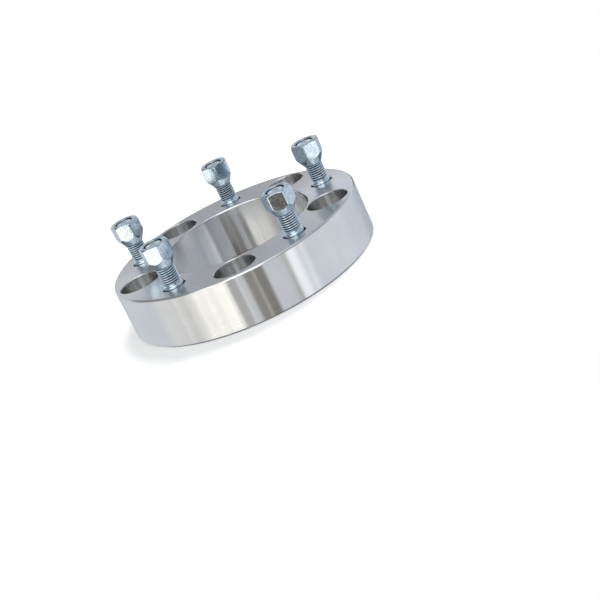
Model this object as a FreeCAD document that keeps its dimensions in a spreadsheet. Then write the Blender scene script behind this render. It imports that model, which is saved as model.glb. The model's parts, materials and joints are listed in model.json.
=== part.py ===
"""Bolt-on wheel spacer for a five-stud hub.

A turned aluminium ring lies between the hub and the wheel. Five counterbored pockets take the hub's
own studs and their nuts. Between them five press-fit studs stand out of the front face, each with an
open-ended cone nut run up to its tip.

Frame: the origin is the centre of the back face, which bolts to the hub. +Z runs along the axis
towards the wheel, and the first pocket is on the -Y side. Lengths are in millimetres, angles in
degrees.
"""
import FreeCAD
import Part
import Sketcher
import math
import os

doc = FreeCAD.newDocument("wheel_spacer")

# Driving sizes: name, value and what it measures.
SIZES = [
    ("ring_dia", 174.0, "outside diameter of the ring"),
    ("bore_dia", 108.0, "centre bore, clear of the hub's centring boss"),
    ("ring_thick", 35.0, "front face to back face"),
    ("outer_chamfer", 1.0, "both edges of the outside wall"),
    ("bore_chamfer", 0.8, "both edges of the centre bore"),
    ("bolt_circle", 139.7, "circle of both the pockets and the studs"),
    ("stations", 5, "pockets, and the same number of studs midway between them"),
    ("hole_chamfer", 0.5, "rims of the pockets and of the stud holes"),

    ("pocket_dia", 28.0, "pocket that a wheel nut and its socket fit into"),
    ("pocket_web", 14.0, "back face to the flat ledge of the pocket"),
    ("seat_dia", 20.0, "wide end of the cone seat, in the ledge"),
    ("seat_angle", 60.0, "included angle of the cone seat"),
    ("hub_stud_dia", 12.0, "thread size of the hub's own studs"),
    ("hub_stud_gap", 0.75, "radial clearance round a hub stud"),

    ("grip", 20.0, "shoulder of the stud's head to the front face"),
    ("press_length", 9.0, "length of the press fit, from the head's shoulder"),
    ("press_dia", 14.3, "splined part of the stud, and the hole it is pressed into"),
    ("head_dia", 21.0, "stud head"),
    ("head_thick", 4.5, "stud head"),
    ("head_gap", 1.5, "radial gap round the head in its recess in the back face"),
    ("head_chamfer", 0.8, "outer edge of the stud's head"),
    ("collar_dia", 13.4, "plain collar under the thread"),
    ("collar_gap", 1.0, "radial gap round the collar, open at the front face"),
    ("collar_rise", 1.6, "collar above the front face"),
    ("collar_chamfer", 0.5, "top edge of the collar"),
    ("thread_dia", 12.0, "M12 thread, major diameter"),
    ("relief_depth", 0.8, "groove at the foot of the thread, also its slope's length"),
    ("relief_width", 0.9, "straight part of that groove"),
    ("stud_reach", 29.6, "stud tip above the front face"),
    ("tip_chamfer", 1.1, "end of the thread"),
    ("dimple_dia", 5.6, "hollow in the stud's tip"),
    ("dimple_depth", 0.3, "hollow in the stud's tip"),

    ("nut_flats", 18.0, "across the flats"),
    ("nut_length", 16.0, "cone tip to top face"),
    ("nut_overhang", 0.9, "top of the nut above the stud's tip"),
    ("nut_cone_angle", 60.0, "included angle of the cone"),
    ("nut_tip_wall", 0.45, "ring left at the small end of the cone"),
    ("nut_face_inset", 0.3, "edge of the flat top ring inside the flats"),
    ("nut_top_angle", 30.0, "bevel of the top corners, measured from the top face"),
    ("nut_thread_gap", 0.05, "radial clearance of the plain bore round the plain stud"),
    ("nut_mouth", 0.8, "bevel at the top of the nut's bore"),
    ("nut_foot_mouth", 0.2, "bevel at the cone end of the nut's bore"),
]
# How far each nut in turn has been screwed round: the direction of one corner from +X.
NUT_TURNS = [-10.7, -4.7, 20.0, 31.7, -3.2]
for number, turn in enumerate(NUT_TURNS, 1):
    SIZES.append(("nut_turn_%d" % number, turn, "direction of a corner of nut %d" % number))

sheet = doc.addObject("Spreadsheet::Sheet", "Sizes")
for row, (alias, value, note) in enumerate(SIZES, 1):
    sheet.set("A%d" % row, alias)
    sheet.set("B%d" % row, str(value))
    sheet.set("C%d" % row, note)
    sheet.setAlias("B%d" % row, alias)
doc.recompute()
stations = int(sheet.stations)


def origin_feature(body, role):
    """One of a body's own base planes or axes."""
    for feature in body.Origin.OriginFeatures:
        if feature.Role == role:
            return feature
    raise LookupError(role)


def new_body(label):
    body = doc.addObject("PartDesign::Body", label)
    body.Label = label
    return body


def half_section(body, name, corners, swing=None):
    """Closed outline in an upright plane, on one side of the axis that it will be turned round.

    Each corner is a pair of expressions, its distance from the axis and its height, and "0" puts it
    on the axis or on the base plane. The axis is the body's own, or with swing it stands on the bolt
    circle, that angle round from the -Y side.
    """
    sketch = body.newObject("Sketcher::SketchObject", name)
    sketch.AttachmentSupport = [(origin_feature(body, "XZ_Plane"), "")]
    sketch.MapMode = "FlatFace"
    if swing:
        sketch.setExpression("AttachmentOffset.Base.x", "Sizes.bolt_circle / 2 * sin(" + swing + ")")
        sketch.setExpression("AttachmentOffset.Base.z", "Sizes.bolt_circle / 2 * cos(" + swing + ")")

    # A rough polygon to begin with: the constraints put every corner in its place.
    rough_size = 10.0
    count = len(corners)
    rough = []
    for i in range(count):
        turn = 2 * math.pi * i / count
        rough.append(FreeCAD.Vector(2 - math.cos(turn), 2 - math.sin(turn), 0) * rough_size)
    for i in range(count):
        sketch.addGeometry(Part.LineSegment(rough[i], rough[(i + 1) % count]), False)
    for i in range(count):
        sketch.addConstraint(Sketcher.Constraint("Coincident", i, 2, (i + 1) % count, 1))

    origin, x_axis, y_axis = -1, -1, -2
    for i, (across, up) in enumerate(corners):
        if across == "0":
            sketch.addConstraint(Sketcher.Constraint("PointOnObject", i, 1, y_axis))
        else:
            index = sketch.addConstraint(Sketcher.Constraint("DistanceX", origin, 1, i, 1, rough[i].x))
            sketch.renameConstraint(index, "across_%d" % (i + 1))
            sketch.setExpression("Constraints.across_%d" % (i + 1), across)
        if up == "0":
            sketch.addConstraint(Sketcher.Constraint("PointOnObject", i, 1, x_axis))
        else:
            index = sketch.addConstraint(Sketcher.Constraint("DistanceY", origin, 1, i, 1, rough[i].y))
            sketch.renameConstraint(index, "up_%d" % (i + 1))
            sketch.setExpression("Constraints.up_%d" % (i + 1), up)
    sketch.Visibility = False
    doc.recompute()
    return sketch


def turned(body, name, sketch):
    """Solid of a half section turned once round its own upright axis."""
    feature = body.newObject("PartDesign::Revolution", name)
    feature.Profile = sketch
    feature.ReferenceAxis = (sketch, ["V_Axis"])
    feature.Angle = 360.0
    doc.recompute()
    return feature


def turned_cut(body, name, sketch):
    """Cut of a half section turned once round its own upright axis."""
    before = body.Shape.Volume
    feature = body.newObject("PartDesign::Groove", name)
    feature.Profile = sketch
    feature.ReferenceAxis = (sketch, ["V_Axis"])
    feature.Angle = 360.0
    doc.recompute()
    if not body.Shape.Volume < before:
        raise RuntimeError(name + " removes nothing")
    return feature


def all_round(body, name, feature):
    """The same feature at every station round the body's axis."""
    pattern = body.newObject("PartDesign::PolarPattern", name)
    pattern.Originals = [feature]
    pattern.Axis = (origin_feature(body, "Z_Axis"), [""])
    pattern.Angle = 360.0
    pattern.setExpression("Occurrences", "Sizes.stations")
    body.Tip = pattern
    doc.recompute()
    return pattern


def stand_on_circle(body, number, height, turn):
    """Stands a body upright on the bolt circle, midway between two pockets."""
    swing = "(360 * (%d - 1.5) / Sizes.stations)" % number
    body.setExpression("Placement.Base.x", "Sizes.bolt_circle / 2 * sin" + swing)
    body.setExpression("Placement.Base.y", "-Sizes.bolt_circle / 2 * cos" + swing)
    body.setExpression("Placement.Base.z", height)
    body.setExpression("Placement.Rotation.Angle", turn)


def make_ring():
    """Ring blank with a bevel on all four edges."""
    ring = new_body("spacer_ring")
    inside = "Sizes.bore_dia / 2"
    outside = "Sizes.ring_dia / 2"
    section = half_section(ring, "ring_section", [
        (inside + " + Sizes.bore_chamfer", "0"),
        (outside + " - Sizes.outer_chamfer", "0"),
        (outside, "Sizes.outer_chamfer"),
        (outside, "Sizes.ring_thick - Sizes.outer_chamfer"),
        (outside + " - Sizes.outer_chamfer", "Sizes.ring_thick"),
        (inside + " + Sizes.bore_chamfer", "Sizes.ring_thick"),
        (inside, "Sizes.ring_thick - Sizes.bore_chamfer"),
        (inside, "Sizes.bore_chamfer"),
    ])
    turned(ring, "ring_blank", section)
    return ring


def cut_pockets(ring):
    """Clearance hole, cone seat, flat ledge and wide counterbore, with a bevel at both faces."""
    hole = "Sizes.hub_stud_dia / 2 + Sizes.hub_stud_gap"
    seat_depth = "(Sizes.seat_dia / 2 - (" + hole + ")) / tan(Sizes.seat_angle / 2)"
    above = "Sizes.ring_thick + Sizes.hole_chamfer"
    section = half_section(ring, "pocket_section", [
        ("0", "-Sizes.hole_chamfer"),
        (hole + " + 2 * Sizes.hole_chamfer", "-Sizes.hole_chamfer"),
        (hole, "Sizes.hole_chamfer"),
        (hole, "Sizes.pocket_web - " + seat_depth),
        ("Sizes.seat_dia / 2", "Sizes.pocket_web"),
        ("Sizes.pocket_dia / 2", "Sizes.pocket_web"),
        ("Sizes.pocket_dia / 2", "Sizes.ring_thick - Sizes.hole_chamfer"),
        ("Sizes.pocket_dia / 2 + 2 * Sizes.hole_chamfer", above),
        ("0", above),
    ], swing="0")
    pocket = turned_cut(ring, "pocket", section)
    all_round(ring, "pockets", pocket)


def cut_stud_holes(ring):
    """Head recess at the back, press fit, and a wider mouth that leaves a gap round the collar."""
    recess = "Sizes.head_dia / 2 + Sizes.head_gap"
    shoulder = "Sizes.ring_thick - Sizes.grip"
    mouth = "Sizes.collar_dia / 2 + Sizes.collar_gap"
    above = "Sizes.ring_thick + Sizes.hole_chamfer"
    section = half_section(ring, "stud_hole_section", [
        ("0", "-Sizes.hole_chamfer"),
        (recess + " + 2 * Sizes.hole_chamfer", "-Sizes.hole_chamfer"),
        (recess, "Sizes.hole_chamfer"),
        (recess, shoulder),
        ("Sizes.press_dia / 2", shoulder),
        ("Sizes.press_dia / 2", shoulder + " + Sizes.press_length"),
        (mouth, shoulder + " + Sizes.press_length"),
        (mouth, "Sizes.ring_thick - Sizes.hole_chamfer"),
        (mouth + " + 2 * Sizes.hole_chamfer", above),
        ("0", above),
    ], swing="180 / Sizes.stations")
    stud_hole = turned_cut(ring, "stud_hole", section)
    all_round(ring, "stud_holes", stud_hole)


def make_stud(number):
    """Press-fit stud: head, splined part, collar, relief groove, thread and dimpled tip.

    Its own base plane is the shoulder under the head, so the head lies below it.
    """
    stud = new_body("wheel_stud_%d" % number)
    head_end = "-Sizes.head_thick"
    collar_top = "Sizes.grip + Sizes.collar_rise"
    relief = "Sizes.thread_dia / 2 - Sizes.relief_depth"
    relief_top = collar_top + " + Sizes.relief_width"
    tip = "Sizes.grip + Sizes.stud_reach"
    section = half_section(stud, "stud_section_%d" % number, [
        ("0", head_end),
        ("Sizes.head_dia / 2 - Sizes.head_chamfer", head_end),
        ("Sizes.head_dia / 2", head_end + " + Sizes.head_chamfer"),
        ("Sizes.head_dia / 2", "0"),
        ("Sizes.press_dia / 2", "0"),
        ("Sizes.press_dia / 2", "Sizes.press_length"),
        ("Sizes.collar_dia / 2", "Sizes.press_length"),
        ("Sizes.collar_dia / 2", collar_top + " - Sizes.collar_chamfer"),
        ("Sizes.collar_dia / 2 - Sizes.collar_chamfer", collar_top),
        (relief, collar_top),
        (relief, relief_top),
        ("Sizes.thread_dia / 2", relief_top + " + Sizes.relief_depth"),
        ("Sizes.thread_dia / 2", tip + " - Sizes.tip_chamfer"),
        ("Sizes.thread_dia / 2 - Sizes.tip_chamfer", tip),
        ("Sizes.dimple_dia / 2", tip),
        ("0", tip + " - Sizes.dimple_depth"),
    ])
    turned(stud, "stud_%d" % number, section)
    stand_on_circle(stud, number, "Sizes.ring_thick - Sizes.grip", "0")
    return stud


def hexagon_bar(nut, number):
    """Hexagonal bar with a corner on its own X axis."""
    sketch = nut.newObject("Sketcher::SketchObject", "hexagon_%d" % number)
    sketch.AttachmentSupport = [(origin_feature(nut, "XY_Plane"), "")]
    sketch.MapMode = "FlatFace"
    centre = FreeCAD.Vector()
    reach = float(sheet.nut_flats) / math.sqrt(3)
    corners = []
    for i in range(6):
        turn = 2 * math.pi * i / 6
        corners.append(FreeCAD.Vector(math.cos(turn), math.sin(turn), 0) * reach)
    for i in range(6):
        sketch.addGeometry(Part.LineSegment(corners[i], corners[(i + 1) % 6]), False)
    circle = sketch.addGeometry(Part.Circle(centre, FreeCAD.Vector(0, 0, 1), reach), True)
    sketch.addConstraint(Sketcher.Constraint("Coincident", circle, 3, -1, 1))
    for i in range(6):
        sketch.addConstraint(Sketcher.Constraint("Coincident", i, 2, (i + 1) % 6, 1))
        sketch.addConstraint(Sketcher.Constraint("PointOnObject", i, 1, circle))
    for i in range(1, 6):
        sketch.addConstraint(Sketcher.Constraint("Equal", 0, i))
    sketch.addConstraint(Sketcher.Constraint("PointOnObject", 0, 1, -1))
    index = sketch.addConstraint(Sketcher.Constraint("Radius", circle, reach))
    sketch.renameConstraint(index, "corner_radius")
    sketch.setExpression("Constraints.corner_radius", "Sizes.nut_flats / sqrt(3)")
    sketch.Visibility = False

    bar = nut.newObject("PartDesign::Pad", "bar_%d" % number)
    bar.Profile = sketch
    bar.setExpression("Length", "Sizes.nut_length")
    doc.recompute()


def make_nut(number):
    """Open-ended cone nut: hexagonal bar with a cone below, bevelled corners above and a bore."""
    nut = new_body("lug_nut_%d" % number)
    hexagon_bar(nut, number)

    bore = "Sizes.thread_dia / 2 + Sizes.nut_thread_gap"
    spare = "Sizes.nut_mouth"
    clear = "Sizes.nut_flats / sqrt(3) + " + spare
    top = "Sizes.nut_length"

    # The cuts run past the bar by the bevel of the mouth.
    tip = bore + " + Sizes.nut_tip_wall"
    cone = half_section(nut, "cone_section_%d" % number, [
        (tip + " - " + spare + " * tan(Sizes.nut_cone_angle / 2)", "-" + spare),
        (clear, "-" + spare),
        (clear, "(" + clear + " - (" + tip + ")) / tan(Sizes.nut_cone_angle / 2)"),
    ])
    turned_cut(nut, "cone_%d" % number, cone)

    face = "Sizes.nut_flats / 2 - Sizes.nut_face_inset"
    bevel = half_section(nut, "bevel_section_%d" % number, [
        (clear, top + " - (" + clear + " - (" + face + ")) * tan(Sizes.nut_top_angle)"),
        (clear, top + " + " + spare),
        (face + " - " + spare + " / tan(Sizes.nut_top_angle)", top + " + " + spare),
    ])
    turned_cut(nut, "bevel_%d" % number, bevel)

    hole = half_section(nut, "bore_section_%d" % number, [
        ("0", "-Sizes.nut_foot_mouth"),
        (bore + " + 2 * Sizes.nut_foot_mouth", "-Sizes.nut_foot_mouth"),
        (bore, "Sizes.nut_foot_mouth"),
        (bore, top + " - Sizes.nut_mouth"),
        (bore + " + 2 * Sizes.nut_mouth", top + " + Sizes.nut_mouth"),
        ("0", top + " + Sizes.nut_mouth"),
    ])
    turned_cut(nut, "bore_%d" % number, hole)

    height = "Sizes.ring_thick + Sizes.stud_reach + Sizes.nut_overhang - Sizes.nut_length"
    turn = "Sizes.nut_turn_%d" % ((number - 1) % len(NUT_TURNS) + 1)
    stand_on_circle(nut, number, height, turn)
    return nut


ring = make_ring()
cut_pockets(ring)
cut_stud_holes(ring)
pieces = [ring]
for number in range(1, stations + 1):
    pieces.append(make_stud(number))
    pieces.append(make_nut(number))

doc.recompute()
for item in doc.Objects:
    if "Invalid" in item.State or "Error" in item.State:
        raise RuntimeError(item.Label + " failed: " + str(item.State))

os.makedirs("parts", exist_ok=True)
for piece in pieces:
    shape = piece.Shape
    if shape.isNull() or not shape.isValid() or len(shape.Solids) != 1:
        raise RuntimeError(piece.Label + " has a bad shape")
    shape.exportStep("parts/" + piece.Label + ".step")
    box = shape.BoundBox
    print("%-14s volume %10.1f mm3, z %6.2f to %6.2f" % (piece.Label, shape.Volume, box.ZMin, box.ZMax))
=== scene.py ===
"""Bolt-on wheel spacer, finished and lit for a picture.

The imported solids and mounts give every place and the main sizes. The ring, the studs and the nuts are
turned, drilled and threaded again here as smooth meshes with softened edges, on the same axes and inside
the same box. Lengths are in metres, and MM turns a size in millimetres into them.
"""
import bpy
import bmesh
import json
import math
from mathutils import Matrix, Vector


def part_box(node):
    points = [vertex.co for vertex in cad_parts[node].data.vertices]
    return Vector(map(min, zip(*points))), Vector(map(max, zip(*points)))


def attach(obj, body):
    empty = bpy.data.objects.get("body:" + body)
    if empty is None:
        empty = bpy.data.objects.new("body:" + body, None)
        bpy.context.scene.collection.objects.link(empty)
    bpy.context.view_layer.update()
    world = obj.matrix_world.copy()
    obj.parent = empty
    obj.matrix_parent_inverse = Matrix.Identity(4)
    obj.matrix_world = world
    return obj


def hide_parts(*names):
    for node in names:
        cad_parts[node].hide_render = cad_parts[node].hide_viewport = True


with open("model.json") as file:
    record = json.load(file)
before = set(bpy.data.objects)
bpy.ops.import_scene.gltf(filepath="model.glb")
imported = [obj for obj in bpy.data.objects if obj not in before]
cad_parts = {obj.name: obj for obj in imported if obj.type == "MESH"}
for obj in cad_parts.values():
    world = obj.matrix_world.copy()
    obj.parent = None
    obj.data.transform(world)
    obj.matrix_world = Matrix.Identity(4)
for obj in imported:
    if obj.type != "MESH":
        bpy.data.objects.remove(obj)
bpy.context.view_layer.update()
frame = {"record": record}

MM = 0.001
FULL_TURN = 2 * math.pi
# Points that lie nearer together than this are one.
SAME_POINT = 0.001 * MM
# Edges that turn by more degrees than this stay sharp.
SHARP_ANGLE = 25.0

# Ring: its main sizes come from its solid and its mounts.
mounts = {mount["name"]: mount for mount in frame["record"]["mounts"]}
ring_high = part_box("spacer_ring")[1]
RING_RADIUS = ring_high.x
RING_THICK = ring_high.z
BORE_RADIUS = mounts["hub_bore"]["dims"]["r_mm"] * MM
CIRCLE_RADIUS = mounts["hub_stud_holes"]["dims"]["pcd_mm"] / 2 * MM
STATIONS = mounts["hub_stud_holes"]["dims"]["count"]
HUB_HOLE_RADIUS = mounts["hub_stud_holes"]["dims"]["hole_r_mm"] * MM
OUTER_CHAMFER = 1.0 * MM
BORE_CHAMFER = 0.8 * MM
HOLE_CHAMFER = 0.5 * MM
RING_SOFTNESS = 0.45 * MM
RING_STEPS = 360

# Pockets for the hub's own studs and nuts.
POCKET_RADIUS = 14.0 * MM
POCKET_WEB = 14.0 * MM
SEAT_RADIUS = 10.0 * MM
SEAT_HALF_ANGLE = math.radians(30)
POCKET_STEPS = 96

# Studs: the heads' and tips' heights come from the solids. The thread is as deep as a metric one.
stud_low, stud_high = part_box("wheel_stud_1")
HEAD_BOTTOM = stud_low.z
STUD_TIP = stud_high.z
HEAD_RADIUS = (stud_high.x - stud_low.x) / 2
THREAD_RADIUS = mounts["wheel_studs"]["dims"]["stud_r_mm"] * MM
THREAD_PITCH = 1.5 * MM
THREAD_DEPTH = 0.6134 * THREAD_PITCH
THREAD_STEPS = 60
SHOULDER = 15.0 * MM
PRESS_LENGTH = 9.0 * MM
PRESS_RADIUS = 7.15 * MM
HEAD_GAP = 1.5 * MM
HEAD_CHAMFER = 0.8 * MM
COLLAR_RADIUS = 6.7 * MM
COLLAR_GAP = 1.0 * MM
COLLAR_TOP = RING_THICK + 1.6 * MM
COLLAR_CHAMFER = 0.5 * MM
RELIEF_RADIUS = 5.2 * MM
RELIEF_TOP = COLLAR_TOP + 0.9 * MM
TIP_CHAMFER = 1.1 * MM
TIP_HALF_WAY = 0.5 * MM
TIP_ROUND = 0.1 * MM
DIMPLE_RADIUS = 2.8 * MM
DIMPLE_DEPTH = 0.3 * MM
DIMPLE_LIP = 0.15 * MM
DIMPLE_LIP_DEPTH = 0.06 * MM
STUD_SOFTNESS = 0.12 * MM
STUD_SHARP_ANGLE = 30.0
STUD_HOLE_STEPS = 72

# Nuts: their height comes from the solids.
nut_low, nut_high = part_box("lug_nut_1")
NUT_BOTTOM = nut_low.z
NUT_TOP = nut_high.z
NUT_HALF_FLATS = 9.0 * MM
NUT_CORNER_ROUND = 0.9 * MM
NUT_EDGE_ROUND = 0.35 * MM
NUT_BORE_RADIUS = 6.05 * MM
NUT_TIP_RADIUS = 6.5 * MM
NUT_CONE_SLOPE = 1 / math.tan(math.radians(30))
NUT_FACE_RADIUS = 8.7 * MM
NUT_BEVEL_SLOPE = math.tan(math.radians(30))
NUT_MOUTH = 0.8 * MM
NUT_FOOT_MOUTH = 0.2 * MM
NUT_SIDE_CUTS = 13
NUT_SHARP_ANGLE = 40.0
# Edges that turn by more than this are rounded, unless they run up the nut.
NUT_SOFT_ANGLE = math.radians(12)
NUT_UPRIGHT = math.radians(0.05)
# Direction of one corner of each nut from +X, in degrees, as far as each has been screwed round.
NUT_TURNS = (-10.7, -4.7, 20.0, 31.7, -3.2)


def spun_solid(outline, steps):
    """Closed mesh of an outline of (radius, height) points, turned once round the Z axis."""
    bm = bmesh.new()
    corners = [bm.verts.new((radius, 0, height)) for radius, height in outline]
    for first, second in zip(corners, corners[1:] + corners[:1]):
        if first.co.x > 0 or second.co.x > 0:
            bm.edges.new((first, second))
    bmesh.ops.spin(bm, geom=bm.verts[:] + bm.edges[:], axis=(0, 0, 1), cent=(0, 0, 0),
                   angle=FULL_TURN, steps=steps, use_merge=True)
    bmesh.ops.remove_doubles(bm, verts=bm.verts[:], dist=SAME_POINT)
    bmesh.ops.recalc_face_normals(bm, faces=bm.faces[:])
    return bm


def smooth_mesh(name, bm, sharp_angle):
    """Mesh from a finished bmesh, shaded smooth."""
    mesh = bpy.data.meshes.new(name)
    bm.to_mesh(mesh)
    bm.free()
    shade_smooth(mesh, sharp_angle)
    return mesh


def shade_smooth(mesh, sharp_angle):
    """Shades the mesh smooth, but for its edges over that angle in degrees."""
    for face in mesh.polygons:
        face.use_smooth = True
    mesh.set_sharp_from_angle(angle=math.radians(sharp_angle))


def new_object(name, data):
    """Puts a mesh, lamp or camera into the scene."""
    made = bpy.data.objects.new(name, data)
    bpy.context.scene.collection.objects.link(made)
    return made


def applied(mesh, kind, **settings):
    """The mesh with one modifier worked into it."""
    piece = new_object("blank", mesh)
    modifier = piece.modifiers.new("change", kind)
    for name, value in settings.items():
        setattr(modifier, name, value)
    graph = bpy.context.evaluated_depsgraph_get()
    changed = bpy.data.meshes.new_from_object(piece.evaluated_get(graph))
    bpy.data.objects.remove(piece)
    return changed


def flat_between_edges(mesh):
    """Keeps flat faces and straight walls true, so that only the narrow softened edges look round."""
    return applied(mesh, "WEIGHTED_NORMAL", mode="FACE_AREA", weight=100, keep_sharp=True)


def fit_piece(name, mesh, material, node):
    """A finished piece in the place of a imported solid."""
    piece = new_object(name, mesh)
    mesh.materials.append(material)
    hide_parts(node)
    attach(piece, "root")


def station_places(first_swing):
    """Axes round the bolt circle. The swing is counted in stations from the -Y side."""
    places = []
    for number in range(STATIONS):
        turn = FULL_TURN * (number + first_swing) / STATIONS
        places.append(Vector((math.sin(turn), -math.cos(turn), 0)) * CIRCLE_RADIUS)
    return places


POCKET_PLACES = station_places(0)
STUD_PLACES = station_places(-0.5)


def softened(corner_before, corner, corner_after, size, steps=3):
    """Points of a small arc that takes the place of a corner of an outline."""
    middle = Vector(corner)
    start = middle + (Vector(corner_before) - middle).normalized() * size
    end = middle + (Vector(corner_after) - middle).normalized() * size
    points = []
    for step in range(steps + 1):
        along = step / steps
        points.append(start * (1 - along) ** 2 + middle * 2 * along * (1 - along) + end * along ** 2)
    return [tuple(point) for point in points]


def soft_outline(corners, size, closed=True):
    """The outline with an arc of that size at every corner that isn't on the axis."""
    points = []
    count = len(corners)
    for index, corner in enumerate(corners):
        at_end = not closed and index in (0, count - 1)
        if corner[0] == 0 or at_end:
            points.append(corner)
        else:
            points += softened(corners[index - 1], corner, corners[(index + 1) % count], size)
    return points


def ring_blank():
    """Turned ring, before it is drilled."""
    top = RING_THICK
    return spun_solid(soft_outline([
        (BORE_RADIUS + BORE_CHAMFER, 0),
        (RING_RADIUS - OUTER_CHAMFER, 0),
        (RING_RADIUS, OUTER_CHAMFER),
        (RING_RADIUS, top - OUTER_CHAMFER),
        (RING_RADIUS - OUTER_CHAMFER, top),
        (BORE_RADIUS + BORE_CHAMFER, top),
        (BORE_RADIUS, top - BORE_CHAMFER),
        (BORE_RADIUS, BORE_CHAMFER),
    ], RING_SOFTNESS), RING_STEPS)


def pocket_cutter():
    """What is drilled and counterbored away for one of the hub's own studs and its nut."""
    past = HOLE_CHAMFER
    seat_depth = (SEAT_RADIUS - HUB_HOLE_RADIUS) / math.tan(SEAT_HALF_ANGLE)
    return spun_solid([
        (0, -past),
        (HUB_HOLE_RADIUS + 2 * past, -past),
        (HUB_HOLE_RADIUS, HOLE_CHAMFER),
        (HUB_HOLE_RADIUS, POCKET_WEB - seat_depth),
        (SEAT_RADIUS, POCKET_WEB),
        (POCKET_RADIUS, POCKET_WEB),
        (POCKET_RADIUS, RING_THICK - HOLE_CHAMFER),
        (POCKET_RADIUS + 2 * past, RING_THICK + past),
        (0, RING_THICK + past),
    ], POCKET_STEPS)


def stud_hole_cutter():
    """Head recess, press fit and mouth, round one of the ring's own studs."""
    past = HOLE_CHAMFER
    recess = HEAD_RADIUS + HEAD_GAP
    mouth = COLLAR_RADIUS + COLLAR_GAP
    press_top = SHOULDER + PRESS_LENGTH
    return spun_solid([
        (0, -past),
        (recess + 2 * past, -past),
        (recess, HOLE_CHAMFER),
        (recess, SHOULDER),
        (PRESS_RADIUS, SHOULDER),
        (PRESS_RADIUS, press_top),
        (mouth, press_top),
        (mouth, RING_THICK - HOLE_CHAMFER),
        (mouth + 2 * past, RING_THICK + past),
        (0, RING_THICK + past),
    ], STUD_HOLE_STEPS)


def cut_away(blank, tools):
    """Mesh of the blank with the tools' shapes taken out of it at their places, all in one cut."""
    cutter = bmesh.new()
    for bm, places in tools:
        for place in places:
            mesh = bpy.data.meshes.new("cutter")
            bm.to_mesh(mesh)
            mesh.transform(Matrix.Translation(place))
            cutter.from_mesh(mesh)
        bm.free()
    tool = new_object("cutter", smooth_mesh("cutter", cutter, SHARP_ANGLE))
    mesh = applied(blank, "BOOLEAN", object=tool, operation="DIFFERENCE", solver="EXACT")
    bpy.data.objects.remove(tool)
    return mesh


def mark_turning_axes(mesh, places, widest):
    """Keeps each face corner's place from the axis that its face was turned or drilled round."""
    from_axis = mesh.attributes.new("from_axis", "FLOAT_VECTOR", "CORNER")
    for face in mesh.polygons:
        centre = Vector((0, 0, 0))
        spots = [mesh.vertices[index].co for index in face.vertices]
        for place in places:
            if (face.center - place).to_2d().length < widest:
                if all((spot - place).to_2d().length < widest for spot in spots):
                    centre = place
        for corner, spot in zip(face.loop_indices, spots):
            from_axis.data[corner].vector = spot - centre


def keep_own_places(mesh):
    """Keeps each point's place from the piece's own axis, before the piece is moved to its place."""
    from_axis = mesh.attributes.new("from_axis", "FLOAT_VECTOR", "POINT")
    for vert, kept in zip(mesh.vertices, from_axis.data):
        kept.vector = vert.co
    return mesh


def ring_mesh():
    """The drilled ring, with the place of each face from its own axis kept for its finish."""
    blank = smooth_mesh("blank", ring_blank(), SHARP_ANGLE)
    mesh = cut_away(blank, [(pocket_cutter(), POCKET_PLACES), (stud_hole_cutter(), STUD_PLACES)])
    mesh.materials.clear()
    shade_smooth(mesh, SHARP_ANGLE)
    mark_turning_axes(mesh, POCKET_PLACES + STUD_PLACES, POCKET_RADIUS + 1.1 * HOLE_CHAMFER)
    return flat_between_edges(mesh)


def turn_on(bm, rim, outline):
    """Carries an open rim on through (radius, height) points, and closes it where they reach the axis."""
    for radius, height in outline:
        grown = bmesh.ops.extrude_edge_only(bm, edges=rim)["geom"]
        rim = [item for item in grown if isinstance(item, bmesh.types.BMEdge)]
        for vert in (item for item in grown if isinstance(item, bmesh.types.BMVert)):
            flat = vert.co.to_2d()
            if radius:
                vert.co = (*(flat.normalized() * radius), height)
            else:
                vert.co = (0, 0, height)
    bmesh.ops.remove_doubles(bm, verts=bm.verts[:], dist=SAME_POINT / 2)
    return rim


def thread_limit(height):
    """Largest radius that the stud has there: slopes up out of the relief groove and down at the tip."""
    rise = RELIEF_RADIUS + max(0.0, height - RELIEF_TOP)
    fall = THREAD_RADIUS - TIP_CHAMFER + max(0.0, STUD_TIP - height)
    return min(rise, fall, THREAD_RADIUS)


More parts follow.
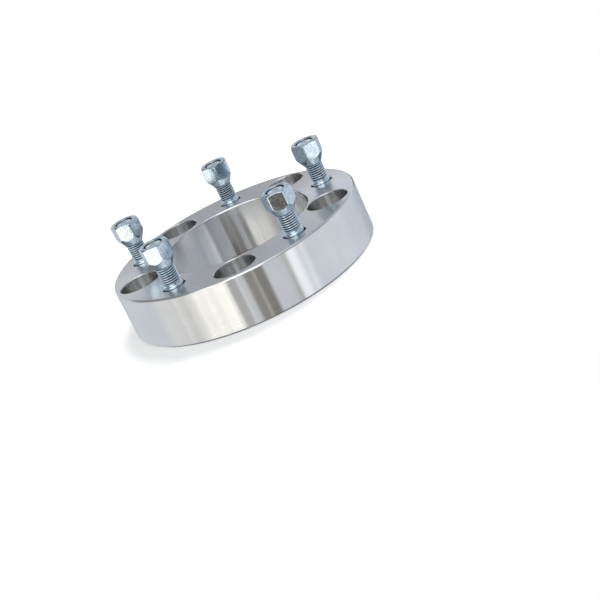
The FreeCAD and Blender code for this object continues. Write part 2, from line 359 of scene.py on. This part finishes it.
def make_thread(bm):
    """Helical thread between the relief groove and the tip, open at both ends."""
    crest = THREAD_PITCH / 4
    root = THREAD_PITCH / 4
    flank = (THREAD_PITCH - crest - root) / 2
    core = THREAD_RADIUS - THREAD_DEPTH
    start = RELIEF_TOP - 2 * THREAD_PITCH
    section = [
        (core, 0),
        (core, root),
        (THREAD_RADIUS, root + flank),
        (THREAD_RADIUS, root + flank + crest),
        (core, THREAD_PITCH),
    ]
    verts = [bm.verts.new((radius, 0, start + height)) for radius, height in section]
    for first, second in zip(verts, verts[1:]):
        bm.edges.new((first, second))
    bmesh.ops.spin(bm, geom=bm.verts[:] + bm.edges[:], axis=(0, 0, 1), cent=(0, 0, 0),
                   dvec=(0, 0, THREAD_PITCH / THREAD_STEPS), angle=FULL_TURN, steps=THREAD_STEPS)
    one_turn = bm.verts[:] + bm.edges[:] + bm.faces[:]
    for turn in range(1, math.ceil((STUD_TIP - start) / THREAD_PITCH) + 1):
        copied = bmesh.ops.duplicate(bm, geom=one_turn)["geom"]
        verts = [item for item in copied if isinstance(item, bmesh.types.BMVert)]
        bmesh.ops.translate(bm, verts=verts, vec=(0, 0, THREAD_PITCH * turn))
    bmesh.ops.remove_doubles(bm, verts=bm.verts[:], dist=2 * SAME_POINT)

    # Trimmed flat at both ends, with rings of points half-way along the slopes and where they begin.
    rise = THREAD_RADIUS - RELIEF_RADIUS
    slopes = (RELIEF_TOP + rise / 2, RELIEF_TOP + rise, STUD_TIP - TIP_HALF_WAY, STUD_TIP - TIP_CHAMFER)
    trims = [(RELIEF_TOP, -1, True), (STUD_TIP, 1, True)] + [(height, 1, False) for height in slopes]
    for height, side, clear in trims:
        bmesh.ops.bisect_plane(bm, geom=bm.verts[:] + bm.edges[:] + bm.faces[:], dist=SAME_POINT / 10,
                               plane_co=(0, 0, height), plane_no=(0, 0, side), clear_outer=clear)
    for vert in bm.verts:
        flat = vert.co.to_2d()
        at_end = min(abs(vert.co.z - RELIEF_TOP), abs(vert.co.z - STUD_TIP)) < SAME_POINT
        limit = thread_limit(vert.co.z)
        reach = limit if at_end else min(flat.length, limit)
        vert.co = (*(flat.normalized() * reach), vert.co.z)


def rim_at(bm, height):
    """The open edges at that height."""
    return [edge for edge in bm.edges if edge.is_boundary
            and all(abs(vert.co.z - height) < SAME_POINT for vert in edge.verts)]


def stud_mesh():
    """Threaded stud with its collar, splined part and head, standing on the Z axis."""
    bm = bmesh.new()
    make_thread(bm)
    turn_on(bm, rim_at(bm, STUD_TIP), [
        (THREAD_RADIUS - TIP_CHAMFER - TIP_ROUND, STUD_TIP),
        (DIMPLE_RADIUS + DIMPLE_LIP, STUD_TIP),
        (DIMPLE_RADIUS - DIMPLE_LIP, STUD_TIP - DIMPLE_LIP_DEPTH),
        (DIMPLE_RADIUS * 0.5, STUD_TIP - DIMPLE_DEPTH * 0.6),
        (DIMPLE_RADIUS * 0.2, STUD_TIP - DIMPLE_DEPTH * 0.95),
        (0, STUD_TIP - DIMPLE_DEPTH),
    ])
    turn_on(bm, rim_at(bm, RELIEF_TOP), soft_outline([
        (RELIEF_RADIUS, RELIEF_TOP),
        (RELIEF_RADIUS, COLLAR_TOP),
        (COLLAR_RADIUS - COLLAR_CHAMFER, COLLAR_TOP),
        (COLLAR_RADIUS, COLLAR_TOP - COLLAR_CHAMFER),
        (COLLAR_RADIUS, SHOULDER + PRESS_LENGTH),
        (PRESS_RADIUS, SHOULDER + PRESS_LENGTH),
        (PRESS_RADIUS, SHOULDER),
        (HEAD_RADIUS, SHOULDER),
        (HEAD_RADIUS, HEAD_BOTTOM + HEAD_CHAMFER),
        (HEAD_RADIUS - HEAD_CHAMFER, HEAD_BOTTOM),
        (0, HEAD_BOTTOM),
    ], STUD_SOFTNESS, closed=False)[1:])
    bmesh.ops.recalc_face_normals(bm, faces=bm.faces[:])
    return flat_between_edges(keep_own_places(smooth_mesh("stud", bm, STUD_SHARP_ANGLE)))


def nut_outline(bm):
    """Hexagon with rounded corners, and its reach from the axis kept at every point."""
    corner_reach = NUT_HALF_FLATS / math.cos(math.radians(30))
    bmesh.ops.create_circle(bm, segments=6, radius=corner_reach)
    bmesh.ops.rotate(bm, verts=bm.verts[:], matrix=Matrix.Rotation(math.radians(30), 3, "Z"))
    corner_cut = NUT_CORNER_ROUND * math.tan(math.radians(30))
    bmesh.ops.bevel(bm, geom=bm.verts[:], offset=corner_cut, affect="VERTICES", offset_type="OFFSET",
                    segments=5, profile=0.5, material=-1)
    sides = [edge for edge in bm.edges if edge.calc_length() > NUT_HALF_FLATS / 2]
    bmesh.ops.subdivide_edges(bm, edges=sides, cuts=NUT_SIDE_CUTS)
    reach = bm.verts.layers.float.new("reach")
    for vert in bm.verts:
        vert[reach] = vert.co.to_2d().length
    return reach


def grow_nut(bm, rim, reach, radius_of, height_of):
    """Next level of the nut's wall: each point at its own radius and height, found from its reach."""
    grown = bmesh.ops.extrude_edge_only(bm, edges=rim)["geom"]
    for vert in (item for item in grown if isinstance(item, bmesh.types.BMVert)):
        vert.co = (*(vert.co.to_2d().normalized() * radius_of(vert[reach])), height_of(vert[reach]))
    return [item for item in grown if isinstance(item, bmesh.types.BMEdge)]


def soft_edges(bm):
    """Edges of the nut that are to be rounded."""
    picked = []
    for edge in bm.edges:
        low, high = edge.verts
        round_it = abs(low.co.to_2d().angle_signed(high.co.to_2d())) > NUT_UPRIGHT
        if round_it and len(edge.link_faces) == 2 and edge.calc_face_angle() > NUT_SOFT_ANGLE:
            picked.append(edge)
    return picked


def nut_mesh():
    """Open-ended cone nut round the Z axis, with a corner on +X."""
    bm = bmesh.new()
    reach = nut_outline(bm)

    def whole(reach_here):
        """The whole hexagon, at a radius as large as the reach."""
        return reach_here

    def cone_height(reach_here):
        return NUT_BOTTOM + (reach_here - NUT_TIP_RADIUS) * NUT_CONE_SLOPE

    def bevel_height(reach_here):
        return NUT_TOP - max(0.0, reach_here - NUT_FACE_RADIUS) * NUT_BEVEL_SLOPE

    def level(radius, height):
        """A plain circle."""
        return (lambda reach_here: radius), (lambda reach_here: height)

    for vert in bm.verts:
        vert.co.z = cone_height(vert[reach])
    levels = [
        (whole, bevel_height),
        level(NUT_FACE_RADIUS, NUT_TOP),
        level(NUT_BORE_RADIUS + NUT_MOUTH, NUT_TOP),
        level(NUT_BORE_RADIUS, NUT_TOP - NUT_MOUTH),
        level(NUT_BORE_RADIUS, NUT_BOTTOM + NUT_FOOT_MOUTH),
        level(NUT_BORE_RADIUS + NUT_FOOT_MOUTH, NUT_BOTTOM),
        level(NUT_TIP_RADIUS, NUT_BOTTOM),
    ]
    rim = bm.edges[:]
    for radius_of, height_of in levels:
        rim = grow_nut(bm, rim, reach, radius_of, height_of)
    bmesh.ops.bridge_loops(bm, edges=[edge for edge in bm.edges if edge.is_boundary])
    bmesh.ops.recalc_face_normals(bm, faces=bm.faces[:])
    bmesh.ops.bevel(bm, geom=soft_edges(bm), offset=NUT_EDGE_ROUND, affect="EDGES", offset_type="OFFSET",
                    segments=3, profile=0.5, material=-1)
    return flat_between_edges(keep_own_places(smooth_mesh("nut", bm, NUT_SHARP_ANGLE)))


# Finishes. Grooves, streaks, patches, blotches and grain are counted in marks a metre.
FINE_GROOVES = 2500
COARSE_GROOVES = 420
STREAKS = 330
PATCHES = 45
GROOVE_DEPTH = 0.02 * MM
GROOVE_SLANT = 0.83
GROOVES_INSIDE = 0.15
STREAKS_OUTSIDE = 0.3
STREAKS_INSIDE = 0.9
ALUMINIUM_TONES = ((0.82, 0.83, 0.85, 1), (0.885, 0.89, 0.90, 1))
ALUMINIUM_INSIDE = (0.99, 0.98, 0.955, 1)
BLOTCHES = 350
GRAIN = 1000
GRAIN_DEPTH = 0.1 * MM
# Painted shade for the wall inside the nuts' hole.
TAPPED_HOLE_PAINTED_SHADE = (0.05, 0.06, 0.08, 1)
# Painted shade for the bottom of the stud's thread, where the turns shade one another.
THREAD_ROOT_PAINTED_SHADE = (0.035, 0.055, 0.09, 1)
THREAD_METALLIC = 0.58
THREAD_DULLER = 0.14


def add_node(tree, kind, **settings):
    """A new shader node with those settings."""
    node = tree.nodes.new(kind)
    for name, value in settings.items():
        setattr(node, name, value)
    return node


def feed(tree, socket, value):
    """Links a node's output to a socket, or sets the socket's own value."""
    if isinstance(value, bpy.types.NodeSocket):
        tree.links.new(value, socket)
    else:
        socket.default_value = value


def maths(tree, operation, *values):
    """One sum with numbers or node outputs."""
    node = add_node(tree, "ShaderNodeMath", operation=operation)
    for socket, value in zip(node.inputs, values):
        feed(tree, socket, value)
    return node.outputs[0]


def vector_maths(tree, operation, *values):
    """One sum with vectors."""
    node = add_node(tree, "ShaderNodeVectorMath", operation=operation)
    for socket, value in zip(node.inputs, values):
        feed(tree, socket, value)
    return node.outputs["Value" if operation in ("LENGTH", "DOT_PRODUCT") else "Vector"]


def smooth_range(tree, value, start, end, low=0.0, high=1.0):
    """Turns start..end into low..high, eased at both ends."""
    node = add_node(tree, "ShaderNodeMapRange", interpolation_type="SMOOTHSTEP")
    inputs = {"Value": value, "From Min": start, "From Max": end, "To Min": low, "To Max": high}
    for name, item in inputs.items():
        feed(tree, node.inputs[name], item)
    return node.outputs["Result"]


def within(tree, value, start, start_soft, end, end_soft):
    """One between start and end, zero outside, eased across each edge."""
    rise = smooth_range(tree, value, start - start_soft / 2, start + start_soft / 2)
    fall = smooth_range(tree, value, end + end_soft / 2, end - end_soft / 2)
    return maths(tree, "MULTIPLY", rise, fall)


def mix_colour(tree, factor, first, second, blend="MIX"):
    """The first colour where the factor is zero, the second where it is one."""
    node = add_node(tree, "ShaderNodeMix", data_type="RGBA", blend_type=blend)
    feed(tree, node.inputs[0], factor)
    feed(tree, node.inputs[6], first)
    feed(tree, node.inputs[7], second)
    return node.outputs[2]


def mix_numbers(tree, factor, first, second):
    """The first number where the factor is zero, the second where it is one."""
    node = add_node(tree, "ShaderNodeMix", data_type="FLOAT")
    feed(tree, node.inputs[0], factor)
    feed(tree, node.inputs[2], first)
    feed(tree, node.inputs[3], second)
    return node.outputs[0]


def noise(tree, place, scale, detail=2.0, dimensions="3D", roughness=0.5):
    """Noise at a place, or at a distance for a noise of one dimension. The scale is in marks a metre."""
    node = add_node(tree, "ShaderNodeTexNoise", noise_dimensions=dimensions)
    feed(tree, node.inputs["W" if dimensions == "1D" else "Vector"], place)
    node.inputs["Scale"].default_value = scale
    node.inputs["Detail"].default_value = detail
    node.inputs["Roughness"].default_value = roughness
    return node.outputs["Fac"]


def metal(name):
    """A plain metal, with its node tree and shader."""
    material = bpy.data.materials.new(name)
    material.use_nodes = True
    shader = material.node_tree.nodes["Principled BSDF"]
    shader.inputs["Metallic"].default_value = 1.0
    return material, material.node_tree, shader


def bumped(tree, height, strength, distance):
    """Normals tilted by a relief of that height."""
    node = add_node(tree, "ShaderNodeBump")
    node.inputs["Strength"].default_value = strength
    node.inputs["Distance"].default_value = distance
    feed(tree, node.inputs["Height"], height)
    return node.outputs["Normal"]


def turned_aluminium():
    """Satin metal with fine grooves round each face's own axis, which draw reflections out."""
    material, tree, shader = metal("turned_aluminium")
    place = add_node(tree, "ShaderNodeAttribute", attribute_name="from_axis").outputs["Vector"]
    split = add_node(tree, "ShaderNodeSeparateXYZ")
    feed(tree, split.inputs[0], place)
    x, y, z = split.outputs
    flat = add_node(tree, "ShaderNodeCombineXYZ")
    feed(tree, flat.inputs[0], x)
    feed(tree, flat.inputs[1], y)
    radius = vector_maths(tree, "LENGTH", flat.outputs[0])

    along = add_node(tree, "ShaderNodeCombineXYZ")
    feed(tree, along.inputs[0], maths(tree, "MULTIPLY", y, -1.0))
    feed(tree, along.inputs[1], x)
    normal = add_node(tree, "ShaderNodeNewGeometry").outputs["Normal"]
    upright = vector_maths(tree, "DOT_PRODUCT", normal, (0, 0, 1))
    across = vector_maths(tree, "CROSS_PRODUCT", normal, along.outputs[0])
    feed(tree, shader.inputs["Tangent"], vector_maths(tree, "NORMALIZE", across))
    shader.inputs["Anisotropic"].default_value = 1.0

    # Grooves are counted outwards on a flat face and downwards on a wall.
    groove_place = maths(tree, "SUBTRACT", radius, maths(tree, "MULTIPLY", z, GROOVE_SLANT))
    fine = noise(tree, groove_place, FINE_GROOVES, dimensions="1D")
    coarse = noise(tree, groove_place, COARSE_GROOVES, dimensions="1D")
    grooves = maths(tree, "ADD", fine, maths(tree, "MULTIPLY", coarse, 0.6))

    # Streaks along the axis on walls, left by the finishing cut: faint outside, plainer in the holes.
    patches = noise(tree, place, PATCHES, detail=3.0)
    on_wall = maths(tree, "SUBTRACT", 1.0, maths(tree, "ABSOLUTE", upright))
    near_axis = smooth_range(tree, radius, BORE_RADIUS + 2 * BORE_CHAMFER, BORE_RADIUS)
    inside = maths(tree, "MULTIPLY", on_wall, near_axis)
    outside_share = maths(tree, "MULTIPLY", on_wall, STREAKS_OUTSIDE)
    streak_share = mix_numbers(tree, inside, outside_share, STREAKS_INSIDE)
    streaks = noise(tree, flat.outputs[0], STREAKS, detail=4.0, roughness=0.65)
    tone = smooth_range(tree, mix_numbers(tree, streak_share, patches, streaks), 0.3, 0.7)
    colour = mix_colour(tree, tone, *ALUMINIUM_TONES)

    # The drilled walls and the bore are a little warmer, and smoother than the outside.
    warmer = mix_colour(tree, inside, colour, ALUMINIUM_INSIDE, "MULTIPLY")
    feed(tree, shader.inputs["Base Color"], warmer)
    worn = mix_numbers(tree, inside, fine, patches)
    feed(tree, shader.inputs["Roughness"], smooth_range(tree, worn, 0.3, 0.7, low=0.18, high=0.23))
    depth = mix_numbers(tree, inside, grooves, maths(tree, "MULTIPLY", grooves, GROOVES_INSIDE))
    feed(tree, shader.inputs["Normal"], bumped(tree, depth, strength=0.06, distance=GROOVE_DEPTH))
    return material


def bright_zinc(name, deep, light, gloss, mottle):
    """Plated steel between two tones. The gloss is its least roughness, and the mottle how rough its
    upright sides look."""
    material, tree, shader = metal(name)
    place = add_node(tree, "ShaderNodeTexCoord").outputs["Object"]
    blotches = noise(tree, place, BLOTCHES, detail=3.0)
    grain = noise(tree, place, GRAIN)
    marks = maths(tree, "ADD", maths(tree, "MULTIPLY", blotches, 0.4), maths(tree, "MULTIPLY", grain, 0.6))
    tone = smooth_range(tree, marks, 0.35, 0.65)
    colour = mix_colour(tree, tone, (*deep, 1), (*light, 1))
    feed(tree, shader.inputs["Base Color"], colour)
    rough = smooth_range(tree, grain, 0.3, 0.7, low=gloss, high=gloss + 0.05)
    feed(tree, shader.inputs["Roughness"], rough)
    normal = add_node(tree, "ShaderNodeNewGeometry").outputs["Normal"]
    upright = vector_maths(tree, "DOT_PRODUCT", normal, (0, 0, 1))
    on_side = smooth_range(tree, maths(tree, "ABSOLUTE", upright), 0.45, 0.15)
    height = maths(tree, "MULTIPLY", grain, on_side)
    feed(tree, shader.inputs["Normal"], bumped(tree, height, mottle, GRAIN_DEPTH))
    return material, tree, shader, colour, rough


def own_axis_place(tree):
    """Distance from the piece's own axis, and height."""
    split = add_node(tree, "ShaderNodeSeparateXYZ")
    place = add_node(tree, "ShaderNodeAttribute", attribute_name="from_axis").outputs["Vector"]
    feed(tree, split.inputs[0], place)
    x, y, z = split.outputs
    squares = maths(tree, "ADD", maths(tree, "POWER", x, 2.0), maths(tree, "POWER", y, 2.0))
    return maths(tree, "SQRT", squares), z


def nut_finish():
    """Bright plating with a grain on its sides, and painted shade darkening the wall of the tapped hole."""
    material, tree, shader, colour, _ = bright_zinc(
        "nut_zinc", deep=(0.50, 0.61, 0.70), light=(0.74, 0.86, 0.95), gloss=0.05, mottle=0.33)
    radius, _ = own_axis_place(tree)
    # Painted shade: the wall of the hole is darkened, as it would lie in shade.
    painted_hole_shade = smooth_range(tree, radius, NUT_BORE_RADIUS + 0.3 * MM, NUT_BORE_RADIUS + 0.1 * MM)
    feed(tree, shader.inputs["Base Color"], mix_colour(tree, painted_hole_shade, colour, TAPPED_HOLE_PAINTED_SHADE))
    return material


def stud_finish():
    """The same plating, dull in the thread, with painted shade darkening the thread towards its root."""
    material, tree, shader, colour, rough = bright_zinc(
        "stud_zinc", deep=(0.66, 0.80, 0.92), light=(0.80, 0.92, 1.0), gloss=0.07, mottle=0.03)
    radius, z = own_axis_place(tree)
    threaded = within(tree, z, RELIEF_TOP, 0.3 * MM, STUD_TIP - TIP_CHAMFER / 2, 0.4 * MM)
    feed(tree, shader.inputs["Metallic"], mix_numbers(tree, threaded, 1.0, THREAD_METALLIC))
    duller = maths(tree, "MULTIPLY", threaded, THREAD_DULLER)
    feed(tree, shader.inputs["Roughness"], maths(tree, "ADD", rough, duller))
    # Painted shade: the thread darkens towards its root, where the turns shade one another.
    painted_shade_start = THREAD_RADIUS - 0.55 * THREAD_DEPTH
    depth = smooth_range(tree, radius, painted_shade_start, painted_shade_start - 0.3 * THREAD_DEPTH)
    root = maths(tree, "MULTIPLY", depth, threaded)
    feed(tree, shader.inputs["Base Color"], mix_colour(tree, root, colour, THREAD_ROOT_PAINTED_SHADE))
    return material


# Pieces
fit_piece("ring", ring_mesh(), turned_aluminium(), "spacer_ring")
stud_zinc = stud_finish()
nut_zinc = nut_finish()
stud_shape = stud_mesh()
nut_shape = nut_mesh()
for number, (place, turn) in enumerate(zip(STUD_PLACES, NUT_TURNS), 1):
    stood = Matrix.Translation(place)
    stud = stud_shape.copy()
    stud.transform(stood)
    fit_piece("stud_%d" % number, stud, stud_zinc, "wheel_stud_%d" % number)
    nut = nut_shape.copy()
    nut.transform(stood @ Matrix.Rotation(math.radians(turn), 4, "Z"))
    fit_piece("nut_%d" % number, nut, nut_zinc, "lug_nut_%d" % number)


# Studio
FLOOR_REACH = 6.0
FLOOR_DROP = 0.02 * MM
FLOOR_TONE = 0.82
FLOOR_GLOW = 0.3


def floor_finish():
    """White to the camera, with a shadow on it. Metal sees the studio through it, with painted shade in the
    ring.
    """
    material = bpy.data.materials.new("floor_white")
    material.use_nodes = True
    tree = material.node_tree
    shader = tree.nodes["Principled BSDF"]
    shader.inputs["Base Color"].default_value = (FLOOR_TONE, FLOOR_TONE, FLOOR_TONE, 1)
    shader.inputs["Roughness"].default_value = 1.0
    shader.inputs["Specular IOR Level"].default_value = 0.0
    shader.inputs["Emission Color"].default_value = (1, 1, 1, 1)
    path = add_node(tree, "ShaderNodeLightPath")
    glow = maths(tree, "MULTIPLY", path.outputs["Is Camera Ray"], FLOOR_GLOW)
    feed(tree, shader.inputs["Emission Strength"], glow)
    place = add_node(tree, "ShaderNodeTexCoord").outputs["Object"]
    radius = vector_maths(tree, "LENGTH", place)

    # Away from the object nothing but white is left.
    white = add_node(tree, "ShaderNodeEmission")
    near = add_node(tree, "ShaderNodeMixShader")
    away = smooth_range(tree, radius, 2.0 * RING_RADIUS, 4.0 * RING_RADIUS)
    feed(tree, near.inputs[0], maths(tree, "MULTIPLY", path.outputs["Is Camera Ray"], away))
    feed(tree, near.inputs[1], shader.outputs[0])
    feed(tree, near.inputs[2], white.outputs[0])

    # Clear to reflections. Inside the ring it is darker: painted shade that dims what the bore and pockets
    # reflect.
    clear = add_node(tree, "ShaderNodeBsdfTransparent")
    inside = smooth_range(tree, radius, RING_RADIUS, BORE_RADIUS)
    feed(tree, clear.inputs["Color"], mix_colour(tree, inside, (1, 1, 1, 1), (0.58, 0.60, 0.63, 1)))
    mix = add_node(tree, "ShaderNodeMixShader")
    feed(tree, mix.inputs[0], path.outputs["Is Glossy Ray"])
    feed(tree, mix.inputs[1], near.outputs[0])
    feed(tree, mix.inputs[2], clear.outputs[0])
    feed(tree, tree.nodes["Material Output"].inputs["Surface"], mix.outputs[0])
    return material


def white_floor():
    """Level floor a hair below the object."""
    bm = bmesh.new()
    bmesh.ops.create_grid(bm, x_segments=1, y_segments=1, size=FLOOR_REACH)
    floor = new_object("floor", smooth_mesh("floor", bm, SHARP_ANGLE))
    floor.data.transform(Matrix.Translation((0, 0, -FLOOR_DROP)))
    floor.data.materials.append(floor_finish())


# Panels of the studio, laid over one another. Each has its name, where it starts and how soft that edge is,
# where it ends and how soft that edge is, its lowest and highest elevation, and its colour. Angles are in
# degrees, and starts and ends are counted round the object from the -Y side towards +X.
PANELS = [
    ("ground", -200, 1, 200, 1, -100, -36, (0.16, 0.17, 0.185)),
    ("left side", -160, 20, -74, 10, -36, 10, (0.64, 0.67, 0.70)),
    ("left fill", -92, 16, -57, 4, -36, 10, (0.75, 0.75, 0.735)),
    ("left card, surround", -69, 2, -58.5, 2, -36, 10, (0.42, 0.43, 0.43)),
    ("left card", -69, 2, -59, 2, -18.5, -10, (1.50, 1.44, 1.36)),
    ("right fill", 56, 3, 124, 20, -36, 10, (0.72, 0.75, 0.80)),
    ("right side", 112, 20, 150, 20, -36, 10, (0.61, 0.66, 0.72)),
    ("right glow", 60, 10, 118, 20, 8, 26, (0.60, 0.64, 0.70)),
    ("back, under the horizon", 142, 20, 205, 20, -36, -10, (0.48, 0.52, 0.57)),
    ("back, glow", 118, 20, 187, 10, 10, 25, (0.66, 0.69, 0.735)),
    ("back, left glow", 187, 10, 242, 20, 10, 25, (0.60, 0.62, 0.65)),
    ("softbox, dim edge", -61, 3, -50, 3, -36, 0, (0.92, 0.90, 0.85)),
    ("softbox", -50.5, 6, -19.6, 2.5, -27, -8, (1.60, 1.54, 1.41)),
    ("softbox line", -38.6, 1, -36.8, 1, -27, -8, (1.90, 1.84, 1.70)),
    ("softbox, bright part", -29.5, 1.5, -21.5, 1.5, -27, -8, (1.76, 1.70, 1.55)),
    ("front left", -19.6, 2.5, -1.4, 1.5, -50, 8, (0.56, 0.58, 0.585)),
    ("card, surround", -19.6, 1.5, -7, 1.5, -50, 8, (0.70, 0.72, 0.72)),
    ("softbox, low end", -23, 1, -17, 0.8, -18.5, -9, (2.0, 1.93, 1.75)),
    ("brown card", -16.8, 0.8, -9, 1, -26, -8, (0.175, 0.145, 0.115)),
    ("left flag", -1.4, 1.5, 6.3, 1, -80, 8, (0.20, 0.19, 0.165)),
    ("flag gap", 6.3, 1, 8.1, 1, -80, 8, (0.46, 0.45, 0.42)),
    ("right flag", 8.1, 1, 16.9, 1.5, -80, 8, (0.155, 0.145, 0.12)),
    ("front right", 16.4, 1.5, 35.3, 2, -36, 10, (0.68, 0.70, 0.725)),
    ("brown edge", 35.3, 2, 38.6, 1.5, -36, 10, (0.12, 0.11, 0.08)),
    ("right card", 34.4, 1, 40, 1, -19.5, -10, (1.15, 1.13, 1.10)),
    ("strip softbox", 39.4, 1.5, 50, 10, -36, 2, (1.22, 1.23, 1.25)),
    ("strip, dim end", 50, 10, 57, 2, -36, 2, (1.0, 1.03, 1.06)),
    ("front softbox", -54, 12, 18, 12, 12, 60, (1.55, 1.55, 1.52)),
    ("top", -200, 1, 200, 1, 62, 100, (0.50, 0.52, 0.55)),
    ("top, right side", 40, 20, 120, 20, 48, 75, (0.62, 0.65, 0.70)),
    ("top softbox", -34, 12, 50, 12, 54, 75, (1.40, 1.42, 1.45)),
    ("top, left card", -100, 20, -34, 12, 56, 80, (0.35, 0.35, 0.35)),
    ("back, above right", 100, 20, 187, 12, 28, 62, (0.44, 0.47, 0.51)),
    ("back, above left", 187, 12, 298, 12, 28, 60, (0.26, 0.27, 0.28)),
]
PANEL_END_SOFT = 4.0
BETWEEN_PANELS = (0.20, 0.205, 0.215)


def studio_world():
    """White to the camera and a plain grey studio with softboxes to everything else."""
    world = bpy.data.worlds.new("studio")
    world.use_nodes = True
    tree = world.node_tree
    split = add_node(tree, "ShaderNodeSeparateXYZ")
    feed(tree, split.inputs[0], add_node(tree, "ShaderNodeTexCoord").outputs["Generated"])
    x, y, z = split.outputs
    in_degrees = math.degrees(1)
    towards_front = maths(tree, "MULTIPLY", y, -1.0)
    round_it = maths(tree, "MULTIPLY", maths(tree, "ARCTAN2", x, towards_front), in_degrees)
    upward = maths(tree, "MULTIPLY", maths(tree, "ARCSINE", z), in_degrees)
    colour = (*BETWEEN_PANELS, 1)
    for name, start, start_soft, end, end_soft, low, high, tone in PANELS:
        middle = (start + end) / 2
        half = (end - start) / 2
        off = maths(tree, "WRAP", maths(tree, "SUBTRACT", round_it, middle), 180.0, -180.0)
        across = within(tree, off, -half, start_soft, half, end_soft)
        upright = within(tree, upward, low, PANEL_END_SOFT, high, PANEL_END_SOFT)
        colour = mix_colour(tree, maths(tree, "MULTIPLY", across, upright), colour, (*tone, 1))
        colour.node.label = name
    seen = add_node(tree, "ShaderNodeLightPath").outputs["Is Camera Ray"]
    feed(tree, tree.nodes["Background"].inputs["Color"], mix_colour(tree, seen, colour, (1, 1, 1, 1)))
    bpy.context.scene.world = world


def softbox_lamp():
    """A soft lamp above and behind the object, for its shadow on the floor."""
    lamp = bpy.data.lights.new("overhead", "AREA")
    lamp.shape = "DISK"
    lamp.size = 0.6
    lamp.energy = 9.0
    overhead = new_object("overhead", lamp)
    overhead.location = (0.25, 0.40, 0.90)
    overhead.rotation_euler = Vector(overhead.location).to_track_quat("Z", "Y").to_euler()
    overhead.visible_glossy = False


def photo_camera():
    """The photograph's viewpoint. The camera is rolled, so the ring lies tilted in the picture."""
    camera_data = bpy.data.cameras.new("camera")
    camera_data.lens = 73.44
    camera_data.sensor_width = 36.0
    camera = new_object("camera", camera_data)
    camera.location = Vector((92.4, -774.3, 266.9)) * MM
    camera.rotation_euler = [math.radians(angle) for angle in (67.155, 23.610, -4.311)]
    bpy.context.scene.camera = camera


white_floor()
studio_world()
softbox_lamp()
photo_camera()
bpy.context.scene.view_settings.view_transform = "Standard"
